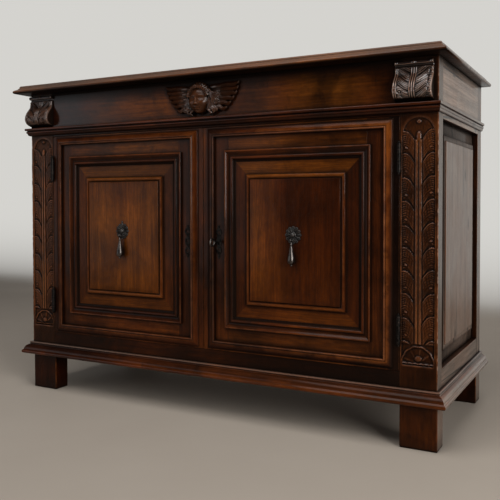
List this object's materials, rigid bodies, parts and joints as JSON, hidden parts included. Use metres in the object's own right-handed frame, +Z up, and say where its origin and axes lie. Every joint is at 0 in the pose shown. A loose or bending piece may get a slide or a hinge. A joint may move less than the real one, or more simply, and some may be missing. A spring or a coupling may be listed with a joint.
{
  "type": "sideboard",
  "caption": "Dark walnut sideboard on block feet, with raised-panel doors on barrel hinges, drop handles, carved front posts, scroll corbels and a winged cherub on the frieze.",
  "frame": {"origin": "middle of the overall footprint, on the floor", "axes": "+X to the viewer's right along the front, the doors face -Y, +Z up"},
  "size_m": [1.43, 0.565, 1],
  "materials": {
    "walnut_top": "waxed dark walnut, worn at the edges",
    "walnut_frame": "waxed walnut with an old dark patina",
    "walnut_panel": "waxed figured walnut",
    "walnut_moulding": "waxed walnut, rubbed lighter on the arrises",
    "walnut_carving": "waxed carved walnut, dark in the hollows",
    "inside_wood": "old unfinished boards",
    "wrought_iron": "blackened wrought iron",
    "polished_iron": "hand-polished iron with dark patches"
  },
  "bodies": {
    "root": {"top_board": "walnut_top", "front_bottom_rail": "walnut_frame", "frieze_front": "walnut_frame", "frieze_left": "walnut_frame", "frieze_right": "walnut_frame", "side_rail_left": "walnut_frame", "side_rail_right": "walnut_frame", "foot_front_left": "walnut_frame", "foot_front_right": "walnut_frame", "foot_rear_left": "walnut_frame", "foot_rear_right": "walnut_frame", "side_panel_left": "walnut_panel", "side_panel_right": "walnut_panel", "waist_moulding_front": "walnut_moulding", "waist_moulding_left": "walnut_moulding", "waist_moulding_right": "walnut_moulding", "base_moulding_front": "walnut_moulding", "base_moulding_left": "walnut_moulding", "base_moulding_right": "walnut_moulding", "front_post_left": "walnut_carving", "front_post_right": "walnut_carving", "cherub_carving": "walnut_carving", "corbel_left": "walnut_carving", "corbel_right": "walnut_carving", "rear_post_left": "inside_wood", "rear_post_right": "inside_wood", "rear_rails": "inside_wood", "back_boards": "inside_wood", "bottom_board": "inside_wood", "shelf": "inside_wood", "shelf_cleats": "inside_wood", "post_hinge_leaves": "wrought_iron", "hinge_pins": "wrought_iron"},
    "left_door": {"left_door_hinge_stile": "walnut_frame", "left_door_meeting_stile": "walnut_frame", "left_door_rails": "walnut_frame", "left_door_panel": "walnut_panel", "left_door_outer_moulding": "walnut_moulding", "left_door_inner_moulding": "walnut_moulding", "left_door_escutcheon": "wrought_iron", "left_door_rosette": "wrought_iron", "left_door_hinge_leaves": "wrought_iron", "left_door_bolt_staples": "wrought_iron"},
    "right_door": {"right_door_hinge_stile": "walnut_frame", "right_door_meeting_stile": "walnut_frame", "right_door_rails": "walnut_frame", "right_door_panel": "walnut_panel", "right_door_outer_moulding": "walnut_moulding", "right_door_inner_moulding": "walnut_moulding", "right_door_escutcheon": "wrought_iron", "right_door_rosette": "wrought_iron", "right_door_hinge_leaves": "wrought_iron", "lock_case": "wrought_iron"},
    "left_drop": {"left_door_drop": "polished_iron"},
    "right_drop": {"right_door_drop": "polished_iron"},
    "left_slide_bolt": {"left_door_slide_bolt": "polished_iron"},
    "lock_bolt": {"lock_bolt": "polished_iron"},
    "key": {"key": "polished_iron"}
  },
  "joints": [
    {"name": "left_door_hinge", "type": "hinge", "parent": "root", "child": "left_door", "pos_m": [-0.58675, -0.23775, 0.513], "axis": [0, 0, -1], "range_deg": [0, 120]},
    {"name": "right_door_hinge", "type": "hinge", "parent": "root", "child": "right_door", "pos_m": [0.58675, -0.23775, 0.513], "axis": [0, 0, 1], "range_deg": [0, 120]},
    {"name": "left_drop_swing", "type": "hinge", "parent": "left_door", "child": "left_drop", "pos_m": [-0.29375, -0.2515, 0.516], "axis": [-1, 0, 0], "range_deg": [0, 90]},
    {"name": "right_drop_swing", "type": "hinge", "parent": "right_door", "child": "right_drop", "pos_m": [0.29375, -0.2515, 0.516], "axis": [-1, 0, 0], "range_deg": [0, 90]},
    {"name": "left_slide_bolt_rise", "type": "slide", "parent": "left_door", "child": "left_slide_bolt", "axis": [0, 0, 1], "range_m": [0, 0.014]},
    {"name": "key_turn", "type": "hinge", "parent": "right_door", "child": "key", "pos_m": [0.054, -0.2325, 0.505], "axis": [0, -1, 0], "range_deg": [0, 190]},
    {"name": "lock_bolt_throw", "type": "slide", "parent": "right_door", "child": "lock_bolt", "axis": [-1, 0, 0], "range_m": [0, 0.01]}
  ],
  "couplings": [
    {"joint": "key_turn", "follows": "lock_bolt_throw", "rad_per_m": 314.16}
  ]
}
